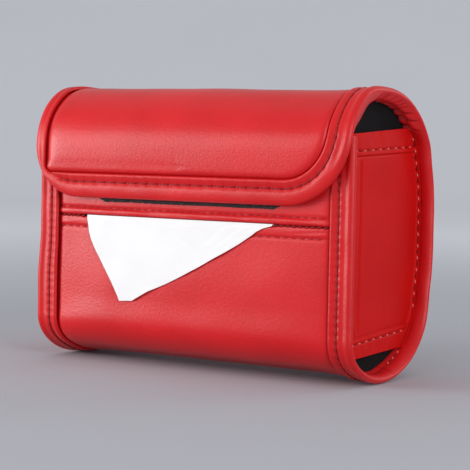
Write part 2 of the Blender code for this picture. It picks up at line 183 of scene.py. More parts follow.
def outline():
    """The outline from the mouth round to the flap's edge: length along it, y, z and normal, and its marks."""
    crest, lowest = FRONT + CREST_BACK, FRONT + LOWEST_BACK
    low, high = -BACK_FLAT / 2, BACK_FLAT / 2
    back_top = ((crest, high), (BACK - crest, TOP - high), TOP_BACK_CURVE_SHARE)
    stretches = [
        np.array([(FRONT, MOUTH, -1, 0)]),
        quarter((lowest, BOTTOM + BOTTOM_FRONT_ROUND), (LOWEST_BACK, BOTTOM_FRONT_ROUND), FRONT_CURVE_SHARE,
                (180, 270)),
        quarter((lowest, low), (BACK - lowest, low - BOTTOM), BOTTOM_BACK_CURVE_SHARE, (270, 360)),
        quarter(*back_top, (0, HINGE_TURN)),
        quarter(*back_top, (HINGE_TURN, 90)),
        quarter((crest, TOP - TOP_FRONT_ROUND), (crest - FLAP_FRONT, TOP_FRONT_ROUND), FRONT_CURVE_SHARE,
                (90, 180)),
        np.array([(FLAP_FRONT, FLAP_EDGE, -1, 0)]),
    ]
    points = np.concatenate(stretches)
    along = lengths(points[:, :2])
    ends = np.cumsum([len(stretch) for stretch in stretches]) - 1
    marks = along[[ends[0] + 1, ends[1], ends[2], ends[2] + 1, ends[3], ends[4], ends[5], -1]]
    kept = np.concatenate([[True], np.diff(along) > 1e-4])
    return np.column_stack([along, points])[kept], marks


OUTLINE, (FRONT_END, LOWEST, BACK_LOW, BACK_HIGH, FOLD, CREST, FLAP_FACE, END) = outline()


def settled(table):
    """The outline as the soft part stands: full at the back's two corners, slack over the front's top."""
    along = table[:, 0]
    high = hump(along, BACK_HIGH + 27, BACK_HIGH + 43, FOLD + 7, CREST - 1)
    low = hump(along, LOWEST + 5, LOWEST + 50, BACK_LOW - 45, BACK_LOW - 20)
    slack = hump(along, CREST + 1, CREST + 17, FLAP_FACE - 23, FLAP_FACE + 16)
    lift = 2.2 * high + 3.6 * low - 1.9 * slack
    even = np.arange(along[0], along[-1], 0.5)
    reach, spread = 36, 11
    blur = np.exp(-0.5 * (np.arange(-reach, reach + 1) / spread) ** 2)
    soft = hump(even, CREST - 24, CREST - 4, END - 14, END - 5)
    fine = []
    for values in (table[:, 1:3] + lift[:, None] * table[:, 3:5]).T:
        level = np.interp(even, along, values)
        slow = np.convolve(np.pad(level, reach, mode="edge"), blur / blur.sum(), mode="valid")
        fine.append(level * (1 - soft) + slow * soft)
    turn = np.gradient(np.array(fine), axis=1)
    turn /= np.hypot(*turn)
    return np.column_stack([even, *fine, turn[1], -turn[0]])


OUTLINE = settled(OUTLINE)


def lean(along, x):
    """How far the left binding leans out, most near the front's bottom corner."""
    down = 0.8 + 1.8 * smooth(along, SLOT_AT + 6, SLOT_AT + 36)
    down *= 1 - smooth(along, LOWEST + 5, LOWEST + 50)
    return down * smooth(-x, HALF - 24, HALF)


def place(along, x, lift):
    """Points at lengths along the outline, X places and lifts."""
    along, x, lift = np.broadcast_arrays(along, x, lift)
    y, z, normal_y, normal_z = (np.interp(along, OUTLINE[:, 0], OUTLINE[:, i]) for i in range(1, 5))
    size = np.hypot(normal_y, normal_z)
    return np.stack([x - lean(along, x), y + lift * normal_y / size, z + lift * normal_z / size], -1)


def sag(along, x):
    """How far the sheets hang in from the bindings' edges: along the bottom, and over the top, more to the right."""
    bottom = 3.0 * window(along, FRONT_END + 30, LOWEST + 24, 25)
    top = 1.1 * window(along, CREST - 12, CREST + 18, 24)
    return bottom + top * (1 + 1.3 * smooth(x, -10, 95))


def corner_distance(out_x, out_along, radius):
    """The distance in from an edge with a round corner, given how far out a place lies from the corner's middle."""
    round_off = np.hypot(np.maximum(out_x, 0), np.maximum(out_along, 0))
    return radius - np.where((out_x > 0) & (out_along > 0), round_off, np.maximum(out_x, out_along))


def edge_distance(along, x):
    """The flat distance in from the wrap's edge, with the flap's rounded corners."""
    radius = np.where(x < 0, CORNER_LEFT, CORNER_RIGHT)
    return corner_distance(np.abs(x) - (HALF - radius), along - (END - radius), radius)


def slimness(along, x):
    """1 on the flap's left side, where the binding is narrow and a wide groove runs beside it."""
    return np.where(x < 0, smooth(along, FOLD + 8, CREST + 4), 0)


def binding_reach(along, x):
    return BINDING_REACH - (BINDING_REACH - SLIM_REACH) * slimness(along, x)


def panel_inward(along, x):
    """The flat distance in from the bindings' inner edge, with the flap panel's own corners."""
    radius = np.where(x < 0, PANEL_CORNER_LEFT, PANEL_CORNER_RIGHT)
    return corner_distance(np.abs(x) - (HALF - binding_reach(along, x) - radius),
                           along - (END - BINDING_REACH - radius), radius)


# Meshes

def add_object(name, data):
    item = bpy.data.objects.new(name, data)
    bpy.context.scene.collection.objects.link(item)
    return item


def mesh_object(name, points, faces, material, flat=None, sharp=50):
    """A smooth mesh with flat coordinates as its UV, and sharp edges above an angle, or none."""
    mesh = bpy.data.meshes.new(name)
    mesh.from_pydata((points.reshape(-1, 3) * MM).tolist(), [], faces)
    mesh.update()
    if flat is not None:
        corners = np.zeros(len(mesh.loops), int)
        mesh.loops.foreach_get("vertex_index", corners)
        layer = mesh.uv_layers.new(name="flat")
        layer.uv.foreach_set("vector", (flat.reshape(-1, 2) * MM)[corners].astype(np.float32).ravel())
    mesh.shade_smooth()
    if sharp:
        mesh.set_sharp_from_angle(angle=math.radians(sharp))
    mesh.materials.append(material)
    return add_object(name, mesh)


def grid_faces(rows, columns, closed=False):
    """Quads of a grid; closed joins its last column to its first."""
    i, j = np.meshgrid(np.arange(rows - 1), np.arange(columns if closed else columns - 1), indexing="ij")
    k = (j + 1) % columns
    quads = np.stack([i * columns + j, (i + 1) * columns + j, (i + 1) * columns + k, i * columns + k], -1)
    return quads.reshape(-1, 4)


def sheet_solid(name, grid, thickness, material, flat, sharp=50):
    """A closed sheet: the grid is its outer face, and its inner face lies a thickness below."""
    grid, flat = np.array(grid), np.array(flat)
    rows, columns = grid.shape[:2]
    normals = unit(np.cross(np.gradient(grid, axis=0), np.gradient(grid, axis=1)))
    count = rows * columns
    outside = grid_faces(rows, columns)
    index = np.arange(count).reshape(rows, columns)
    rim = np.concatenate([index[0, ::-1], index[1:, 0], index[-1, 1:], index[-2:0:-1, -1]])
    after = np.roll(rim, -1)
    walls = np.stack([rim, after, after + count, rim + count], 1)
    faces = np.concatenate([outside, outside[:, ::-1] + count, walls[:, ::-1]])
    return mesh_object(name, np.stack([grid, grid - normals * thickness]), faces.tolist(), material,
                       np.stack([flat, flat]), sharp)


def tube_faces(count, size):
    """Faces of a closed body through rings: its side, and its two ends."""
    ends = np.arange(size), np.arange((count - 1) * size, count * size)[::-1]
    return grid_faces(count, size, closed=True), ends


def loft_solid(name, rings, material, flat, sharp):
    """A closed body through rings of points, capped at both ends."""
    rings, flat = np.array(rings), np.array(flat)
    side, ends = tube_faces(*rings.shape[:2])
    return mesh_object(name, rings, side.tolist() + [end.tolist() for end in ends], material, flat, sharp)


def beads(name, middles, axes, radii, material):
    """Many small closed ellipsoids, each on its own three axes."""
    rings, sides, share = 7, 8, 0.96
    turn = np.tile(np.linspace(0, 2 * math.pi, sides, endpoint=False), rings)
    tilt = np.repeat(np.linspace(-0.5, 0.5, rings) * math.pi * share, sides)
    shape = np.stack([np.sin(tilt), np.cos(tilt) * np.cos(turn), np.cos(tilt) * np.sin(turn)], 1)
    points = middles[:, None] + np.einsum("nki,nij->nkj", shape[None] * radii[:, None, :], axes)
    side, ends = tube_faces(rings, sides)
    faces = []
    for first in range(0, len(points) * len(shape), len(shape)):
        faces += (side[:, ::-1] + first).tolist() + [(end + first).tolist() for end in ends]
    return mesh_object(name, points, faces, material, sharp=None)


# Materials

def feed(socket, value):
    """Links a socket to an output, or sets its constant."""
    if isinstance(value, bpy.types.NodeSocket):
        socket.id_data.links.new(value, socket)
    else:
        socket.default_value = (*value, 1.0) if socket.type == "RGBA" else value


def node(kind, inputs, **settings):
    """A node in the tree of its first input, which is always another node's output."""
    made = next(iter(inputs.values())).id_data.nodes.new(kind)
    for key, value in settings.items():
        setattr(made, key, value)
    for key, value in inputs.items():
        feed(made.inputs[key], value)
    return made


def noise(spot, scale, detail=4.0, **inputs):
    inputs = {"Vector": spot, "Scale": scale, "Detail": detail, **inputs}
    return node("ShaderNodeTexNoise", inputs).outputs["Fac"]


def cells(spot, scale, **settings):
    return node("ShaderNodeTexVoronoi", {"Vector": spot, "Scale": scale}, **settings).outputs["Distance"]


def maths(operation, *values):
    return node("ShaderNodeMath", dict(enumerate(values)), operation=operation).outputs[0]


def ramp(value, low, high, first=0.0, last=1.0, **settings):
    """Maps a value from low..high to first..last."""
    inputs = {"Value": value, "From Min": low, "From Max": high, "To Min": first, "To Max": last}
    return node("ShaderNodeMapRange", inputs, **settings).outputs["Result"]


def mix_colour(share, first, last):
    made = node("ShaderNodeMix", {"Factor": share}, data_type="RGBA")
    for socket, value in zip([s for s in made.inputs if s.type == "RGBA"], (first, last)):
        feed(socket, value)
    return next(s for s in made.outputs if s.type == "RGBA")


def feed_shader(made, **values):
    shader = made.node_tree.nodes["Principled BSDF"]
    for key, value in values.items():
        feed(shader.inputs[key.replace("_", " ")], value)
    return made


def new_material(name, roughness, specular, space="UV"):
    """A material with the texture space it is painted in."""
    made = bpy.data.materials.new(name)
    made.use_nodes = True
    feed_shader(made, Roughness=roughness, Specular_IOR_Level=specular)
    return made, made.node_tree.nodes.new("ShaderNodeTexCoord").outputs[space]


def finished(made, tone, height, strength, depth):
    """A material with its colour, and its relief from a height."""
    bump = node("ShaderNodeBump", {"Height": height, "Strength": strength, "Distance": depth})
    return feed_shader(made, Base_Color=tone, Normal=bump.outputs["Normal"])


def leather(name, light, dark, roughness=0.35, specular=0.32):
    """Smooth coated leather: pebbled grain, fine pores, faint uneven colour, and painted shade darkening the grain's
    hollows.
    """
    made, flat = new_material(name, roughness, specular)
    grain = 1.2 * MM
    pebbles = cells(flat, 1 / grain, feature="SMOOTH_F1")
    pores = noise(flat, 1.6 / grain)
    height = maths("MULTIPLY_ADD", pores, 0.6, maths("MULTIPLY", pebbles, -0.75))
    tone = mix_colour(ramp(noise(flat, 22.0), 0.35, 0.68), light, dark)
    # Darker towards the pebbles' edges, which are the grain's hollows: painted shade.
    tone = mix_colour(ramp(pebbles, 0.15, 0.75, last=0.3), tone, dark)
    feed_shader(made, Roughness=ramp(pores, 0.3, 0.7, roughness - 0.05, roughness + 0.08))
    return finished(made, tone, height, 0.55, 0.14 * MM)


def ribbed(name, light, dark, pitch, depth, across=(1.0, 0.0), roughness=0.9):
    """Cloth with fine ribs, which run square to the direction across, coloured darker in their grooves as painted
    shade.
    """
    made, flat = new_material(name, roughness, 0.12)

    def wave(direction, turns):
        run = node("ShaderNodeVectorMath", {0: flat, 1: (*direction, 0)}, operation="DOT_PRODUCT")
        return maths("SINE", maths("MULTIPLY", run.outputs["Value"], turns * math.pi / pitch))

    ribs = maths("MULTIPLY_ADD", wave((-across[1], across[0]), 4), 0.3, wave(across, 2))
    height = maths("MULTIPLY_ADD", noise(flat, 2.5 / pitch), 0.8, ribs)
    # The colour follows the relief, darker in the grooves: painted shade.
    return finished(made, mix_colour(ramp(height, -0.9, 1.9), dark, light), height, 0.8, depth)


def fuzzy(name, light, dark, size, depth):
    """Brushed or foamed stuff: an uneven tangle, coloured darker in its hollows as painted shade."""
    made, spot = new_material(name, 0.95, 0.2, "Object")
    tangle = noise(spot, 1 / size, 6.0, Roughness=0.7, Distortion=1.2)
    height = maths("ADD", tangle, cells(spot, 0.8 / size))
    # The colour follows the relief, darker in the hollows: painted shade.
    return finished(made, mix_colour(ramp(height, 0.5, 1.3), dark, light), height, 0.9, depth)


def thread(name, light, dark):
    """Twisted sewing thread, coloured darker in the twist's grooves as painted shade."""
    made, spot = new_material(name, 0.55, 0.2, "Object")
    inputs = {"Vector": spot, "Scale": 900.0, "Distortion": 1.5, "Detail": 1.0}
    twist = node("ShaderNodeTexWave", inputs, bands_direction="DIAGONAL").outputs["Fac"]
    # The colour follows the twist's relief, darker in its grooves: painted shade.
    tone = mix_colour(ramp(twist, 0.0, 1.0), dark, light)
    return finished(made, tone, twist, 0.5, 0.05 * MM)


def tissue(name, light, dark):
    """Soft paper: faint crepe lines and fibres."""
    made, flat = new_material(name, 0.9, 0.5)
    creped = node("ShaderNodeMapping", {"Vector": flat, "Scale": (1.0, 3.0, 1.0)}).outputs["Vector"]
    tone = mix_colour(ramp(noise(flat, 40.0, 3.0), 0.3, 0.7), light, dark)
    return finished(made, tone, noise(creped, 900.0), 0.4, 0.08 * MM)


WRAP_RED = leather("wrap_leather", (0.64, 0.011, 0.015), (0.55, 0.007, 0.01))
BINDING_RED = leather("binding_leather", (0.64, 0.01, 0.013), (0.54, 0.006, 0.008), roughness=0.38)
GUSSET_RED = leather("gusset_leather", (0.58, 0.005, 0.005), (0.51, 0.004, 0.004), roughness=0.5, specular=0.08)
RIBBED_BLACK = ribbed("ribbed_cloth", (0.016, 0.015, 0.016), (0.002, 0.002, 0.003), 1.5 * MM, 0.3 * MM,
                      across=(0.8, 0.6))
LINING_BLACK = ribbed("lining_cloth", (0.022, 0.022, 0.024), (0.008, 0.008, 0.009), 0.7 * MM, 0.1 * MM)
WEBBING_BLACK = ribbed("elastic_webbing", (0.03, 0.03, 0.032), (0.006, 0.006, 0.007), 1.2 * MM, 0.2 * MM,
                       across=(0.0, 1.0), roughness=0.85)
LOOP_BLACK = fuzzy("loop_tape", (0.075, 0.062, 0.062), (0.006, 0.005, 0.006), 0.5 * MM, 0.5 * MM)
HOOK_BLACK = fuzzy("hook_tape", (0.03, 0.03, 0.032), (0.008, 0.008, 0.009), 0.8 * MM, 0.3 * MM)
FOAM_WHITE = fuzzy("foam", (0.62, 0.6, 0.54), (0.5, 0.48, 0.42), 0.6 * MM, 0.2 * MM)
BOARD_GREY = fuzzy("stiffener_board", (0.4, 0.34, 0.26), (0.3, 0.25, 0.18), 0.9 * MM, 0.1 * MM)
THREAD_RED = thread("red_thread", (0.42, 0.014, 0.02), (0.26, 0.009, 0.012))
# Pale pink thread, whose pale colour also paints the thread's highlights.
THREAD_PINK_AND_HIGHLIGHT = thread("pale_thread_and_highlight", (0.85, 0.2, 0.17), (0.6, 0.07, 0.06))
THREAD_SEAM = thread("seam_thread", (0.45, 0.025, 0.03), (0.25, 0.01, 0.013))
THREAD_DARK = thread("dark_thread", (0.27, 0.007, 0.01), (0.12, 0.004, 0.005))
# Dark beads laid at the needle holes and the thread's dents: painted shade.
HOLE_SHADE = thread("needle_hole_shade", (0.25, 0.006, 0.008), (0.14, 0.004, 0.004))
TISSUE_WHITE = tissue("tissue_paper", (0.86, 0.85, 0.85), (0.82, 0.815, 0.81))


# Placing pieces

def across_fold(piece):
    """Bakes the placement of a piece that lies across the flap's fold into its mesh."""
    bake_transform(piece)


def rides(piece, body):
    """Puts a piece on a body, or without one bakes its placement into its mesh."""
    if body:
        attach(piece, body)
    else:
        across_fold(piece)


def belongs(piece, slot, body, *nodes):
    """Hides the frame nodes a piece stands for and puts the piece on its body; the slot is not used."""
    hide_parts(*nodes)
    rides(piece, body)


# The leather wrap

# How far a panel goes under a binding's inner edge, and its columns' distances from that edge
TUCK = 0.9
EDGE_STEPS = np.array([-TUCK, -0.3, 0, 0.25, 0.55, 0.9, 1.4, 2.1, 3.0, 4.2, 6.0, 8.5])
# Where the outer face begins beside the slot, and its corners by side
FACE_START = 1.6
PANEL_RADII = {-1: PANEL_CORNER_LEFT + TUCK, 1: PANEL_CORNER_RIGHT + TUCK}


def panel_lift(along, x):
    """The padded leather's height: a rounded edge beside the bindings, soft pillows and the sag between them."""
    inward, slim = panel_inward(along, x), slimness(along, x)
    inside = np.maximum(inward, 0)
    on_flap = smooth(along, CREST + 4, CREST + 34)
    side = slim * smooth(END - along, 14, 20)
    rise = np.maximum(inward - 1.2 * side, 0) / (0.9 + 0.9 * side)
    shoulder = (1.25 + 1.5 * on_flap + 0.5 * side) * (1 - np.exp(-rise)) - 0.5 * side
    inner = 1 - np.exp(-inside / 11)
    drop = sag(along, x) * (0.6 + 0.4 * inner)
    pad = hump(along, SLOT_AT + 3, SLOT_AT + 34, FRONT_END - 4, FRONT_END + 14)
    pillow = 0.9 * (1 - np.exp(-inside / 16))
    crown = 0.4 * (1 - np.minimum((x / (HALF - BINDING_REACH)) ** 2, 1))
    flap_pad = 0.5 * window(along, FLAP_FACE + 4, END - 22, 14) * inner
    uneven = 0.14 * waviness(along, x, 34, 3) * inner
    fall = 1.3 * (1 - smooth(x, 13 - HALF, 52 - HALF)) * (1 - smooth(along, FRONT_END - 5, FRONT_END + 15))
    corner = 0.9 * inner * window(along, FRONT_END + 2, FRONT_END + 18, 16)
    return PANEL_LIFT + shoulder - drop + (pillow + crown) * pad + corner - fall + flap_pad + uneven


def lip_relief(offset, x):
    """Beside the slot: each seam's groove, and the swelling between it and the slot's edge."""
    away = np.abs(offset)
    seam = np.where(offset < 0, UPPER_SEAM, LOWER_SEAM)
    swell = np.where(offset < 0, 0.6, 0.25) * np.sin(math.pi * np.clip(away / seam, 0, 1))
    uneven = 0.12 * waviness(x, away * 3, 9, 8) * (1 - smooth(away, 4, 7))
    return swell + uneven - 0.5 * bell(away, seam, 0.8)


def leather_lift(along, x):
    return panel_lift(along, x) + lip_relief(along - SLOT_AT, x)


def column_places(along):
    """Places across a panel, close together beside its two sides."""
    low, high = EDGE_STEPS + TUCK - panel_side(along, -1), panel_side(along, 1) - EDGE_STEPS[::-1] - TUCK
    spacing = 3
    count = int((2 * (HALF - BINDING_REACH) - 17) / spacing)
    shares = np.linspace(0, 1, count + 2)[1:-1]
    return np.concatenate([low, low[-1] + (high[0] - low[-1]) * shares, high])


def panel_side(along, side):
    """How far out a panel reaches, tucked just under the bindings' inner edge."""
    radius = PANEL_RADII[side]
    into = max(0.0, along - (END - BINDING_REACH + TUCK - radius))
    return HALF - float(binding_reach(along, side)) + TUCK - radius + math.sqrt(max(0.0, radius ** 2 - into ** 2))


def lip_rows(side):
    """The turned-in lip above or below the slot, from inside to the outer face: rows and their flat places."""
    x = column_places(0)
    inside = [(3.2, -2.3 * LIP_ROUND), (2.0, -2.2 * LIP_ROUND)]
    turned = [(LIP_ROUND * (1 - math.cos(t)), LIP_ROUND * (math.sin(t) - 1)) for t in np.radians(range(-90, 91, 30))]
    closed = 0.15
    gap = closed + (SLOT_GAP - closed) * window(x, SLOT_LEFT, SLOT_RIGHT, 3)
    rows, flats = [], []
    for away, drop in inside + turned:
        along = SLOT_AT + side * (gap + away)
        lift = panel_lift(SLOT_AT + side * FACE_START, x) + lip_relief(side * away, x) + drop
        rows.append(place(along, x, lift))
        flats.append(np.stack([x, along + (side * drop if away > LIP_ROUND else 0)], 1))
    return rows, flats


def outline_rows(alongs, columns, lift):
    """Rows at lengths along the outline, from the functions of their columns and lifts, and their flat places."""
    rows, flats = [], []
    for along in alongs:
        x = columns(along)
        rows.append(place(along, x, lift(along, x)))
        flats.append(np.stack([x, np.full_like(x, along)], 1))
    return rows, flats


def make_wrap():
    last = END - BINDING_REACH + TUCK
    alongs = [np.arange(SLOT_AT + FACE_START, SLOT_AT + 8, 0.5), np.arange(SLOT_AT + 8.5, END - 26, 1.9),
              last - EDGE_STEPS - TUCK]
    for radius in PANEL_RADII.values():
        alongs.append(last - radius * (1 - np.sin(np.radians(np.arange(4, 90, 5)))))
    alongs = kept_apart(np.sort(np.concatenate(alongs)), 0.15)
    lip, face = lip_rows(1), outline_rows(alongs, column_places, leather_lift)
    wrap = sheet_solid("leather_wrap", lip[0] + face[0], LEATHER, WRAP_RED, lip[1] + face[1])
    belongs(wrap, "red_leatherette", None, "wrap_panel", "flap_panel")


def make_front_strip():
    alongs = [np.arange(1.8, SLOT_AT - 7, 1.6), np.arange(SLOT_AT - 6.6, SLOT_AT - 1, 0.5)]
    face, lip = outline_rows(np.concatenate(alongs), column_places, leather_lift), lip_rows(-1)
    strip = sheet_solid("front_strip", face[0] + lip[0][::-1], LEATHER, WRAP_RED, face[1] + lip[1][::-1])
    belongs(strip, "red_leatherette", "pouch", "front_top_strip")


# Bindings

# A folded strip's section: how far in from the fold, and lift
OUTER_LEG = np.array([
    (0.0, -2.2), (0.1, -1.75), (0.4, -1.25), (0.95, -0.78), (1.8, -0.38), (2.9, -0.08), (4.1, 0.1), (5.3, 0.18),
    (6.4, 0.06), (7.3, -0.24), (7.9, -0.52), (8.5, -0.68), (9.0, -0.55), (9.6, -0.25), (10.5, 0.15), (11.4, 0.5),
    (12.1, 0.66), (12.7, 0.48), (13.1, 0.0), (13.3, -0.6)])
UNDER_OUTER = np.array([
    (13.1, -1.0), (12.6, -1.25), (8.0, -1.3), (3.0, -1.3), (1.9, -1.5), (1.4, -2.0), (1.9, -2.5), (3.0, -2.7),
    (11.1, -2.75)])
INNER_LEG = np.array([
    (11.5, -3.0), (11.6, -3.5), (11.3, -3.95), (10.4, -4.15), (9.3, -4.05), (8.4, -3.8), (7.8, -3.72), (7.2, -3.8),
    (6.3, -4.1), (5.2, -4.35), (4.0, -4.45), (2.9, -4.35), (1.9, -4.05), (1.1, -3.6), (0.45, -3.05),
    (0.08, -2.6)])
SECTION = np.concatenate([OUTER_LEG, UNDER_OUTER, INNER_LEG])
SECTION_LENGTH = lengths(SECTION)
OUTER_COUNT = len(OUTER_LEG) + len(UNDER_OUTER)
INNER_SEAM = (7.8, -3.72)
STATION = 0.75
JOIN = LOWEST + 10


def gathers(along, inward, run):
    """The inner leg's folds, where the strip is bent tightest between the fold and the crest."""
    slanted = run + 0.8 * inward
    phase = slanted / 6.2 + 0.25 * np.sin(slanted / 5.1) + 0.1 * np.sin(slanted / 2.3)
    ridges = np.abs(np.sin(math.pi * phase)) ** 0.8 - 0.4
    return 2.1 * window(along, FOLD - 1, CREST - 8, 5) * smooth(inward, 0.8, 4) * ridges


def droop(along, inward):
    """How far the inner leg hangs away from the outer one: a little over the top, bodily over its front."""
    top = window(along, FOLD + 4, CREST, 14) * smooth(inward, 0.8, 5.5)
    front = hump(along, CREST - 10, CREST + 3, FLAP_FACE - 21, FLAP_FACE - 4)
    low = window(along, LOWEST + 14, BACK_LOW - 40, 14) * smooth(inward, 2, 8)
    return top + 3.4 * front + low


def binding_lift(along, x, inward, lift, run, pitch, slim=0.0):
    """A binding's height: tilted where the sheets sag, dimpled by its stitches, smooth where it is slim."""
    tilt = 0.6 * sag(along, x) * np.clip(inward / BINDING_REACH, 0, 1) ** 1.4
    hole = (0.5 + 0.5 * np.cos(2 * math.pi * run / pitch)) ** 2
    outer, inner = lift > -1.2, lift < -2.9
    dimple = hole * (0.4 * bell(inward, STITCH_IN, 1.1) + 0.12 * bell(inward, 10.8, 1.6))
    valley = 0.9 * bell(inward, 5.0, 1.4) - 0.35 * bell(inward, 2.2, 1.0) - 0.3 * bell(inward, 8.3, 1.2)
    relief = (dimple + valley * (1 - smooth(along, END - 30, END - 15))) * outer
    filled = 0.75 * bell(inward, STITCH_IN, 1.5) * outer
    uneven = 0.1 * waviness(run, inward * 2, 16, 5)
    folds = (gathers(along, inward, run) + droop(along, inward)) * inner
    return lift - tilt - relief * (1 - slim) + filled * slim + uneven - folds


def binding_points(path, pitch):
    """Points over a folded strip; a path's columns are x, along, inward x, inward along, run and width."""
    x, along, in_x, in_along, run, width = (path[:, None, i] for i in range(6))
    inward, lift = SECTION[None, :, 0], SECTION[None, :, 1]
    reach = np.where(np.arange(len(SECTION)) < OUTER_COUNT, inward * width, inward)
    at = along + in_along * reach
    slim = 1 - smooth(width, 0.62, 0.9)
    return place(at, x + in_x * reach, binding_lift(at, x, inward, lift, run, pitch, slim))


def finished_path(stations):
    """A path with its own length and the outer leg's width, as a share of its full reach, as last columns."""
    stations = np.array(stations)
    inward = np.linspace(2, 14, 481)
    x, at = (stations[:, i, None] + stations[:, i + 2, None] * inward for i in range(2))
    reach = inward[(panel_inward(at, x) >= -0.02).argmax(1)]
    return np.column_stack([stations, lengths(stations[:, :2]), reach / BINDING_REACH])


def side_path(side, start, end):
    """Stations up a side, closer together where the inner leg is gathered."""
    along = np.linspace(start, end, int(abs(end - start) / STATION) + 2)
    low, high = FOLD - 8, CREST + 4
    if start < low and end > high:
        fine = np.linspace(low, high, int((high - low) / 0.4))
        along = np.concatenate([along[along < low - 0.2], fine, along[along > high + 0.2]])
    return [(side * HALF, at, -side, 0.0) for at in along]


def corner_path(side, radius, turns):
    made = []
    for turn in np.radians(np.linspace(*turns, int(radius * math.pi / 2 / STATION))):
        made.append((side * (HALF - radius + radius * math.cos(turn)), END - radius + radius * math.sin(turn),
                     -side * math.cos(turn), -math.sin(turn)))
    return made


def rim_path():
    """From the bottom's left end up the back, over the top, round the flap's edge and back down on the right."""
    bottom = np.linspace(-HALF + CORNER_LEFT, HALF - CORNER_RIGHT, int(2 * HALF / STATION) - 60)
    stations = side_path(-1, JOIN, END - CORNER_LEFT)
    stations += corner_path(-1, CORNER_LEFT, (0, 90))[1:]
    stations += [(x, END, 0.0, -1.0) for x in bottom[1:-1]]
    stations += corner_path(1, CORNER_RIGHT, (90, 0))
    stations += side_path(1, JOIN, END - CORNER_RIGHT)[-2::-1]
    return finished_path(stations)


def folded_strip(name, rings, run):
    return loft_solid(name, rings, BINDING_RED, np.stack(np.broadcast_arrays(SECTION_LENGTH, run), -1), sharp=60)


def make_front_bindings():
    for word, side in (("left", -1), ("right", 1)):
        ends = (0.0, JOIN - 0.4)[::-side]
        path = finished_path(side_path(side, *ends))
        piece = folded_strip("front_edge_" + word, binding_points(path, BODY_PITCH), path[:, 4:5])
        belongs(piece, "binding_leatherette", "pouch", "body_binding_" + word)
        make_stitches("front_edge_stitches_" + word, path, BODY_PITCH, "pouch")


def make_rim():
    path = rim_path()
    piece = folded_strip("rim_binding", binding_points(path, FLAP_PITCH), path[:, 4:5])
    belongs(piece, "binding_leatherette", None, "flap_binding")
    make_stitches("rim_stitches", path, FLAP_PITCH, None)
    make_inner_stitches(path)


def make_mouth_edge():
    """The folded strip on the front wall's top edge."""
    share = 10 / BINDING_REACH
    reach = HALF - BINDING_REACH - 0.3
    x = np.linspace(reach, -reach, 120)[:, None]
    inward, lift = SECTION[:, 0] * share, SECTION[:, 1]
    rings = place(inward, x, binding_lift(END, 0.0, inward * 1.33, lift, x, BODY_PITCH))
    belongs(folded_strip("mouth_edge", rings, x), "binding_leatherette", "pouch", "mouth_binding")


# Stitches

def stitch_objects(name, surface, a, b, length, radius, material, body, turn=0.0, hole_shade=True):
    """Threads lying on a surface at places (a, b), with a dark bead of painted shade at the needle hole at each end.
    """
    a, b = np.broadcast_arrays(a, b)
    step = 0.15
    middles = surface(a, b)
    along = unit(surface(a + step, b) - surface(a - step, b))
    across = unit(surface(a, b + step) - surface(a, b - step))
    out = unit(np.cross(along, across))
    across = unit(np.cross(out, along))
    cosine, sine = math.cos(turn), math.sin(turn)
    axes = np.stack([cosine * along + sine * across, cosine * across - sine * along, out], 1)
    count = len(middles)
    made = [beads(name, middles + out * radius * 0.55, axes,
                  np.tile([length / 2, radius, radius * 0.85], (count, 1)), material)]
    # A dark bead at each needle hole: painted shade.
    if hole_shade:
        away = axes[:, 0] * length * 0.56
        sizes = np.tile([radius * 1.25, radius * 1.1, radius * 0.35], (2 * count, 1))
        made.append(beads(name + "_hole_shade", np.concatenate([middles - away, middles + away]),
                          np.concatenate([axes, axes]), sizes, HOLE_SHADE))
    for piece in made:
        rides(piece, body)


def stitch_runs(path, pitch):
    return np.arange(pitch / 2, path[-1, 4] - pitch / 4, pitch)


def on_binding(path, run, inward, lift, pitch, width=1.0):
    """Points on a binding at lengths along its path."""
    x, at, in_x, in_along = (np.interp(run, path[:, 4], path[:, i]) for i in range(4))
    x, at = x + in_x * inward * width, at + in_along * inward * width
    return place(at, x, binding_lift(at, x, inward, lift, run, pitch))


def make_stitches(name, path, pitch, body):
    """A row of stitches in a binding's groove."""
    runs = stitch_runs(path, pitch)

    def width(run):
        return np.interp(run, path[:, 4], path[:, 5])

    def surface(run, inward):
        return on_binding(path, run, inward, np.interp(inward, *OUTER_LEG.T), pitch, width(run))

    runs = runs[width(runs) > 0.9]
    stitch_objects(name, surface, runs, STITCH_IN, pitch * 0.62, 0.48, THREAD_RED, body)


def pale_row(name, surface, a, b, gap, body):
    """Short pale stitches, whose pale colour is partly a painted highlight, with dark beads of painted shade at the
    thread's dents between them.
    """
    stitch_objects(name, surface, a, b, 1.9, 0.5, THREAD_PINK_AND_HIGHLIGHT, body, turn=0.15, hole_shade=False)
    # Dark beads at the dents between the stitches: painted shade.
    stitch_objects(name + "_dent_shade", surface, a[:-1] + np.diff(a) / 2, b, gap * 0.45, 0.36, HOLE_SHADE, body,
                   turn=-0.2, hole_shade=False)


def make_inner_stitches(path):
    """The rim seam's other side, on the inner leg, where the side panels leave it bare."""
    runs = stitch_runs(path, INNER_PITCH)
    along = np.interp(runs, path[:, 4], path[:, 1])
    runs = runs[(along > FLAP_FACE - 10) | (place(along, 0.0, 0.0)[:, 2] < GUSSET_LOW.z)]

    def surface(back_run, inward):
        return on_binding(path, -back_run, inward, INNER_SEAM[1], INNER_PITCH)

    breaks = np.flatnonzero(np.diff(runs) > 1.5 * INNER_PITCH) + 1
    for number, group in enumerate(np.split(runs, breaks)):
        pale_row(f"inner_stitches_{number}", surface, -group, INNER_SEAM[0], INNER_PITCH, None)


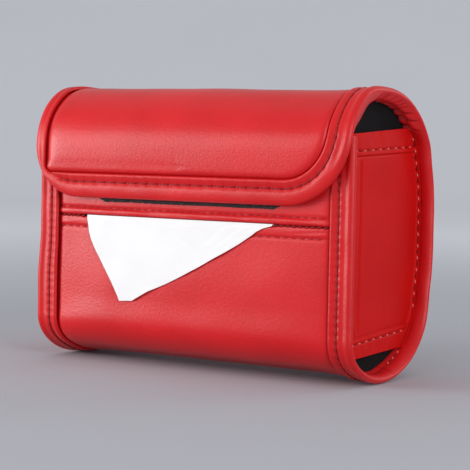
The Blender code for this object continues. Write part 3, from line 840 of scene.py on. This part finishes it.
def make_slot_stitches():
    """Two seams along the slot, and bold whip stitches that close it at both ends."""

    def leather_face(back_x, along):
        return place(along, -back_x, leather_lift(along, -back_x))

    def valley(back_x, along):
        return leather_face(back_x, along) + (0, 0.45, 0)

    side = HALF - BINDING_REACH
    for word, at, pitch in (("upper", SLOT_AT - UPPER_SEAM, 4.75), ("lower", SLOT_AT + LOWER_SEAM, 5)):
        x = np.arange(2.4 - side, side - 1.2, pitch)
        stitch_objects("slot_stitches_" + word, leather_face, -x, at, 2.7, 0.38, THREAD_SEAM, "pouch")
    left, right = np.arange(3.2 - side, SLOT_LEFT + 1, 3.4), np.arange(SLOT_RIGHT + 1, side - 0.5, 3.7)
    for word, x, length, turn in (("left", left, 2.9, 0.45), ("right", right, 3.1, 0.16)):
        stitch_objects("slot_end_stitches_" + word, valley, -x, SLOT_AT + 0.3, length, 0.68, THREAD_DARK, "pouch",
                       turn=turn, hole_shade=False)


# Gussets and side cloths

FLANGE = 2.2
GUSSET_LIFT = -5.15
WEB_FACE = GUSSET_HIGH.x - FLANGE
TOP_HEM = 41.4
LOW_HEM = -51.6
TOP_SEAM = 44.2
LOW_SEAM = -54.1
PLEAT = 0.235
WEB_DEPTH = 80


def inner_y(z, lift, front=False):
    """How far back a layer stands at a height, on the front wall or the back."""
    along = OUTLINE[:, 0]
    part = OUTLINE[along <= LOWEST if front else (along >= LOWEST) & (along <= CREST)]
    y, height = part[:, 1] + lift * part[:, 3], part[:, 2] + lift * part[:, 4]
    order = np.argsort(height)
    return np.interp(z, height[order], y[order])


def gusset_x(z, share):
    """The web's face: hems along its top and bottom edges, a hollow between them and a pleat near the front."""
    hem = smooth(z, TOP_HEM - 0.4, TOP_HEM + 0.5) + 1 - smooth(z, LOW_HEM - 0.5, LOW_HEM + 0.4)
    crease = bell(z, TOP_HEM - 0.5, 0.5) + bell(z, LOW_HEM + 0.5, 0.5)
    seam = bell(z, TOP_SEAM, 0.7) + bell(z, LOW_SEAM, 0.7)
    hollow = 0.9 * np.sin(math.pi * share) * window(z, -30, 18, 22)
    pleat = 0.8 * (1 - smooth(share, 0.16, PLEAT) - bell(share, PLEAT, 0.011)) * window(z, -46, 36, 5)
    rumple = 0.22 * waviness(share * WEB_DEPTH, z * 0.4, 8, 15) * hem + 0.15 * waviness(z, share * WEB_DEPTH, 30, 12)
    return WEB_FACE + 0.8 * hem - 0.3 * crease - 0.4 * seam - hollow + pleat + rumple


def slant(z, share):
    """How far the hems and edges climb towards the back."""
    return (share - 0.5) * np.interp(z, [-63, -55, -52, -25, 15, 41, 45, 54], [1.6, 3.6, 4.6, 0, 0, 3.0, 3.2, 4.5])


def web_ends(z):
    return inner_y(min(z, MOUTH), GUSSET_LIFT, front=True), inner_y(z, GUSSET_LIFT)


def gusset_grid():
    heights = kept_apart(np.unique(np.concatenate([
        np.arange(GUSSET_LOW.z, GUSSET_HIGH.z, 1.5), np.arange(TOP_HEM - 2, TOP_SEAM + 2, 0.3),
        np.arange(LOW_SEAM - 2, LOW_HEM + 2, 0.3), [GUSSET_HIGH.z]])), 0.1)
    tip = GUSSET_HIGH.x
    shares = np.unique(np.concatenate([np.linspace(0, 1, 40), PLEAT + np.linspace(-0.035, 0.035, 9)]))
    bend = 1.6
    turned = [(bend * (1 - math.cos(t)), bend * (1 - math.sin(t))) for t in np.radians(np.linspace(0, 90, 6))]
    rows, flats = [], []
    for z in heights:
        front, back = web_ends(z)
        ys = front + bend + (back - front - 2 * bend) * shares
        web = [(gusset_x(z, share), y) for share, y in zip(shares, ys)]
        near = [(web[0][0] + x, front + y) for x, y in turned[::-1]]
        far = [(web[-1][0] + x, back - y) for x, y in turned]
        ring = [(tip, front), ((tip + near[0][0]) / 2, front)] + near + web[1:-1] + far
        ring += [((tip + far[-1][0]) / 2, back), (tip, back)]
        rows.append([(x, y, z + slant(z, (y - front) / (back - front))) for x, y in ring])
        flats.append(np.stack([lengths(np.array(ring)), np.full(len(ring), z)], 1))
    return np.array(rows)[::-1], np.array(flats)[::-1]


def side_piece(word, name, grid, flat, thickness, material, slot, source):
    """One side's sheet; the left one is the right one's mirror image."""
    if word == "left":
        grid, flat = grid[:, ::-1] * (-1, 1, 1), flat[:, ::-1]
    piece = sheet_solid(name + word, grid, thickness, material, flat)
    belongs(piece, slot, "pouch", source + word)


def make_gussets():
    grid, flat = gusset_grid()
    for word, side in (("left", -1), ("right", 1)):
        side_piece(word, "side_panel_", grid, flat, 0.9, GUSSET_RED, "gusset_leatherette", "gusset_")
        gusset_stitches(word, side)


def gusset_stitches(word, side):
    """Seams through the two hems, and the one that holds the back flange."""
    for row, z, pitch in (("top", TOP_SEAM, 8.4), ("bottom", LOW_SEAM, 7.6)):
        front, back = web_ends(z)

        def web(signed_y, height):
            share = (side * signed_y - front) / (back - front)
            return np.stack([side * gusset_x(height, share), side * signed_y, height + slant(height, share)], -1)

        y = np.arange(front + 4, back - 2, pitch)
        pale_row(f"hem_stitches_{row}_{word}", web, y * side, z, pitch, "pouch")

    def flange(back_z, x):
        return np.stack([x, inner_y(-back_z, GUSSET_LIFT), -back_z], -1)

    z = np.arange(GUSSET_LOW.z + 3, GUSSET_HIGH.z + 2, INNER_PITCH)
    pale_row("flange_stitches_" + word, flange, -z, side * (WEB_FACE + 1.3), INNER_PITCH, "pouch")


def make_side_cloths():
    """The cloth behind each gusset, which ends just inside the walls and, above the mouth, the flap's arch."""
    low, high = box("side_cloth_right")
    clear, arch_clear = 4.6, 6.2
    arch = OUTLINE[OUTLINE[:, 0] >= CREST]
    arch_y, arch_z = arch[:, 1] - arch_clear * arch[:, 3], arch[:, 2] - arch_clear * arch[:, 4]
    rows, flats = [], []
    for z in np.linspace(low.z, high.z, 110):
        front = FRONT + clear if z > BOTTOM + BOTTOM_FRONT_ROUND else inner_y(z, -clear, front=True)
        if z > MOUTH:
            front = max(front, np.interp(-z, -arch_z, arch_y))
        y = np.linspace(front, max(inner_y(z, -4.5), front + 0.5), 40)
        x = high.x + 0.3 * waviness(y, z, 20, 21) - 0.3
        rows.append(np.stack([x, y, np.full_like(y, z)], 1))
        flats.append(np.stack([y, np.full_like(y, z)], 1))
    for word in ("left", "right"):
        side_piece(word, "ribbed_side_", np.array(rows)[::-1], np.array(flats)[::-1], 0.7, RIBBED_BLACK,
                   "ribbed_cloth", "side_cloth_")


# Linings, foam and board

def layer(name, start, end, inset, lift, thickness, material):
    """A sheet under the leather, from one length along the outline to another."""
    spacing = 2.4

    def columns(along):
        sides = []
        for radius in (CORNER_LEFT, CORNER_RIGHT):
            into = max(0.0, along - (END - radius))
            bow = math.sqrt(max(1e-3, (radius - inset) ** 2 - into ** 2))
            sides.append(HALF - radius + bow if into > 0 else HALF - inset)
        return np.linspace(-sides[0], sides[1], 60)

    def hanging(along, x):
        inner = np.clip((edge_distance(along, x) - BINDING_REACH) / 20, 0, 1)
        return lift - sag(along, x) * (0.6 + 0.4 * inner)

    rows, flats = outline_rows(np.linspace(start, end, int((end - start) / spacing) + 2), columns, hanging)
    return sheet_solid(name, rows, thickness, material, flats)


def make_layers():
    for name, start, end, body, nodes, leather_name in (
            ("lining", SLOT_AT + 1.2, END - LINING_INSET, None, ("body_lining", "flap_lining"), "leather_wrap"),
            ("strip_lining", 7.3, SLOT_AT - 1.2, "pouch", ("front_strip_lining",), "front_strip")):
        lining = layer(name, start, end, LINING_INSET, LINING_LIFT, LINING, LINING_BLACK)
        belongs(lining, "black_lining", body, *nodes)
    for word, start, end, body in (("front", SLOT_AT + 9.5, LOWEST, "pouch"),
                                   ("flap", FOLD + 5, END - PADDING_INSET, "flap")):
        foam = layer(word + "_foam", start, end, PADDING_INSET, FOAM_LIFT, FOAM, FOAM_WHITE)
        belongs(foam, "foam", body, word + "_padding")
    middle = (BACK_LOW + BACK_HIGH) / 2
    board = layer("stiffener", middle - 45, middle + 45, PADDING_INSET, -2.7, 1.0, BOARD_GREY)
    belongs(board, "stiffener_board", "pouch", "back_board")
    for word, start in (("upper", SLOT_AT - 9), ("lower", SLOT_AT + 1)):
        facing = layer("slot_tape_" + word, start, start + 8, LINING_INSET + 0.2, -3.1, 0.6, GUSSET_RED)
        belongs(facing, "red_leatherette", "pouch", "slot_facing_" + word)


# Hook-and-loop tape

def make_tape(name, source, material, body, relief, seed):
    """A strip of tape with a rough face and rounded corners, in the place of its CAD node."""
    low, high = box(source)
    columns, rows = int((high.x - low.x) / 0.8), int((high.z - low.z) / 0.7)
    draw = np.random.default_rng(seed)
    x, share = np.meshgrid(np.linspace(low.x, high.x, columns), np.linspace(0, 1, rows))
    side = np.minimum(x - low.x, high.x - x)
    top = high.z - 1.6 * (1 - smooth(side, 0, 4.5))
    bottom = low.z - 0.3 + high.z - top + 0.04 * draw.standard_normal(columns)
    z = top - (top - bottom) * share
    y = low.y - 0.2 - relief * draw.random((rows, columns))
    y += 0.5 * (1 - smooth(np.minimum(side, np.minimum(z - bottom, top - z)), 0, 0.8))
    piece = sheet_solid(name, np.stack([x, y, z], -1), high.y - low.y - 0.1, material, np.stack([x, z], -1), sharp=80)
    belongs(piece, name, body, source)


def make_tapes():
    make_tape("loop_tape", "loop_strip", LOOP_BLACK, "pouch", 0.35, 4)
    make_tape("hook_tape", "hook_strip", HOOK_BLACK, "flap", 0.2, 5)


# Rear straps

def make_straps():
    for word in ("left", "right"):
        low, high = box("strap_" + word)
        middle, half = middle_and_half(low, high)
        z, rib = np.meshgrid(np.linspace(low.z, high.z, 90), np.linspace(-1, 1, 46), indexing="ij")
        wall = inner_y(z, PANEL_LIFT + 0.3)
        slack_y, thickness, ribs = 5.2, 1.2, 9
        inner = wall + (slack_y - wall) * hump(z, low.z + 14, low.z + 33, high.z - 33, high.z - 14)
        x, y = middle.x + half.x * rib, inner + thickness + 0.1 + 0.22 * np.cos(rib * math.pi * ribs)
        piece = sheet_solid("elastic_band_" + word, np.stack([x, y, z], -1), thickness, WEBBING_BLACK,
                            np.stack([x, z], -1))
        belongs(piece, "elastic_webbing", "pouch", "strap_" + word)
        make_patch(word, "lower")
        make_patch(word, "upper")


def make_patch(word, end):
    """A sewn leather patch over a band's end, with two rows of stitches."""
    low, high = box(f"strap_patch_{word}_{end}")
    middle, half = middle_and_half(low, high)
    inset, pitch = 2.4, 2.9

    def surface(z, x):
        edge = np.minimum(half.x - np.abs(x - middle.x), half.z - np.abs(z - middle.z))
        puff = 0.5 * smooth(edge, 0, 1.4) - 0.3 * bell(edge, inset, 0.5)
        return np.stack([x, inner_y(z, PANEL_LIFT + 2.7) + puff, z], -1)

    z, x = np.meshgrid(np.linspace(low.z, high.z, 40), np.linspace(low.x, high.x, 70), indexing="ij")
    piece = sheet_solid(f"band_patch_{word}_{end}", surface(z, x), 1.0, WRAP_RED, np.stack([x, z], -1))
    belongs(piece, "red_leatherette", "pouch", f"strap_patch_{word}_{end}")
    x = middle.x + np.arange(-half.x + inset + 1, half.x - inset, pitch)
    for row, level in (("low", -1), ("high", 1)):
        stitch_objects(f"patch_stitches_{row}_{word}_{end}", surface, middle.z + level * (half.z - inset), x, 0.6,
                       0.3, THREAD_RED, "pouch", hole_shade=False)


# Tissues

# The hanging tissue's side edges: heights with the X of each
TISSUE_LEFT = np.array([
    (4.8, -66.7), (2.3, -66.0), (0.1, -65.4), (-4.2, -64.2), (-8.5, -62.3), (-12.8, -59.9), (-17.0, -57.2),
    (-21.2, -54.4), (-25.4, -51.4), (-29.6, -48.3), (-33.8, -45.6), (-38.0, -43.2), (-40.4, -42.2)])
TISSUE_RIGHT = np.array([
    (4.8, 53.5), (4.2, 53.0), (3.4, 50.0), (2.6, 47.4), (0.9, 44.0), (-1.3, 41.0), (-5.8, 33.8), (-10.4, 25.8),
    (-15.0, 16.9), (-19.7, 8.4), (-24.5, -1.1), (-29.4, -11.4), (-34.4, -22.9), (-40.4, -33.4)])
HIDDEN_TISSUE = 18


def make_tissue():
    """One corner of a tissue, which comes up through the slot, turns over its lower lip and hangs."""
    columns = 110
    share = np.linspace(0, 1, columns)
    bottom = TISSUE_LEFT[-1, 0]
    falls = np.concatenate([np.linspace(0, 0.12, 12), np.linspace(0.14, 1, 60)])[:, None]
    top_edge = SLOT + 0.4
    heights = top_edge + (bottom - top_edge) * falls
    left, right = (np.interp(-heights, -side[:, 0], side[:, 1]) for side in (TISSUE_LEFT, TISSUE_RIGHT))
    x = left + (right - left) * share
    z = heights + 0.6 * share * smooth(falls, 0.7, 1)
    along = MOUTH - z
    folds = 0.5 * np.abs(np.sin(math.pi * (x + 1.2 * z) / 46 + 0.5)) + 0.35 * waviness(x, z, 30, 31)
    over_lip = 0.6 * (1 - smooth(falls, 0, 0.04))
    hang = np.maximum.accumulate(leather_lift(along, x), axis=0) + 0.75 - over_lip + folds * smooth(falls, 0.02, 0.3)
    hanging = np.stack([x, FRONT - hang, z], -1)
    inside, first = FRONT + 5.2, hanging[0, :, 1]
    bend = 0.5
    rows = []
    for height in np.linspace(SLOT - HIDDEN_TISSUE, top_edge - bend, 6):
        rows.append(np.stack([x[0], np.full(columns, inside), np.full(columns, height)], 1))
    for turn in np.radians(np.linspace(15, 90, 6)):
        rows.append(np.stack([x[0], inside + (first - inside) * (1 - math.cos(turn)),
                              np.full(columns, top_edge - bend + bend * math.sin(turn))], 1))
    grid = np.concatenate([np.array(rows), hanging[1:]])
    run = np.concatenate([[0], np.cumsum(np.linalg.norm(np.diff(grid[:, 0], axis=0), axis=1))])
    flat = np.stack(np.broadcast_arrays(grid[..., 0], run[:, None]), -1)
    piece = sheet_solid("tissue_corner", grid, 0.25, TISSUE_WHITE, flat)
    belongs(piece, "tissue_paper", "pouch", "tissue_sheet")


def make_stack():
    """The folded tissues: a soft block with the layers' edges on its narrow sides."""
    low, high = box("tissue_stack")
    middle, half = middle_and_half(low, high)
    layers = 56
    turns = np.linspace(0, 2 * math.pi, 160, endpoint=False)
    across, up = powered(np.cos(turns), 0.22), powered(np.sin(turns), 0.22)
    rows, flats = [], []
    for i in range(layers + 1):
        y = low.y + 2 * half.y * i / layers
        edge = math.sin(math.pi * min(i, layers - i, layers / 6) / layers * 3)
        inset = 2.2 * (1 - edge) + 0.35 * (i % 2)
        x, z = across * (half.x - inset) + middle.x, up * (half.z - inset) + middle.z
        rows.append(np.stack([x, np.full_like(x, y), z], 1))
        flats.append(np.stack([x, z + y], 1))
    piece = loft_solid("tissue_pack", rows[::-1], TISSUE_WHITE, flats[::-1], sharp=70)
    belongs(piece, "tissue_paper", "pouch", "tissue_stack")


# Stage

def add_camera():
    """The photograph's viewpoint, from the right and a little above."""
    yaw, pitch, roll = 0.5795, 0.0592, 0.0184
    distance, across, up_shift, lens = 0.8786, 0.0024, -0.0045, 122.56
    centre = Vector((0, (FRONT + 42.45) * MM, 0))
    back = Vector((math.sin(yaw) * math.cos(pitch), -math.cos(yaw) * math.cos(pitch), math.sin(pitch)))
    right = Vector((math.cos(yaw), math.sin(yaw), 0))
    up = right.cross(-back)
    rolled = math.cos(roll) * right + math.sin(roll) * up
    upright = math.cos(roll) * up - math.sin(roll) * right
    data = bpy.data.cameras.new("camera")
    data.lens = lens
    camera = add_object("camera", data)
    spot = centre + back * distance + rolled * across + upright * up_shift
    camera.matrix_world = Matrix([[rolled[i], upright[i], back[i], spot[i]] for i in range(3)] + [[0, 0, 0, 1]])
    bpy.context.scene.camera = camera


def add_floor():
    """A pale floor, darker near the part as painted shade, that rises gently far away, so no edge shows."""
    material, spot = new_material("floor_paint", 0.9, 0.1, "Object")
    away = node("ShaderNodeVectorMath", {0: spot}, operation="LENGTH").outputs["Value"]
    far = ramp(away, 0.25, 1.4, interpolation_type="SMOOTHSTEP")
    pale = mix_colour(ramp(noise(spot, 2.0, 3.0), 0.3, 0.7), (0.80, 0.81, 0.87), (0.82, 0.83, 0.89))
    # Darker near the part and paler further out: painted shade.
    feed_shader(material, Base_Color=mix_colour(far, (0.455, 0.465, 0.505), pale))
    count, reach, rise, level, risen = 141, 7000, 1900, 2200, 6500
    x, y = np.meshgrid(np.linspace(-reach, reach, count), np.linspace(-reach, reach, count), indexing="ij")
    z = BOTTOM + rise * smooth(np.hypot(x, y), level, risen)
    mesh_object("floor", np.stack([x, y, z], -1), grid_faces(count, count).tolist(), material)


def add_lights():
    """Four softboxes aimed at the part, and an even pale surrounding."""
    for name, spot, size, power in (("left_softbox", (-1.22, -0.90, 0.03), (0.6, 0.6), 15.5),
                                    ("upper_softbox", (-0.88, -1.13, 0.42), (1.1, 0.42), 6.5),
                                    ("right_softbox", (1.34, -0.72, 0.4), (0.5, 0.8), 10),
                                    ("rear_softbox", (0.85, 1.25, 0.5), (0.6, 0.6), 3)):
        data = bpy.data.lights.new(name, "AREA")
        data.shape = "RECTANGLE"
        data.size, data.size_y = size
        data.energy = power
        lamp = add_object(name, data)
        lamp.location = spot
        lamp.rotation_euler = (-Vector(spot)).to_track_quat("-Z", "Y").to_euler()
    world = bpy.data.worlds.new("studio")
    world.use_nodes = True
    background = world.node_tree.nodes["Background"].inputs
    background["Color"].default_value = (0.97, 0.985, 1.0, 1)
    background["Strength"].default_value = 0.57
    bpy.context.scene.world = world
    bpy.context.scene.view_settings.view_transform = "Standard"


def main():
    add_camera()
    make_wrap()
    make_front_strip()
    make_front_bindings()
    make_rim()
    make_slot_stitches()
    make_mouth_edge()
    make_layers()
    make_gussets()
    make_side_cloths()
    make_tapes()
    make_straps()
    make_tissue()
    make_stack()
    add_floor()
    add_lights()


main()
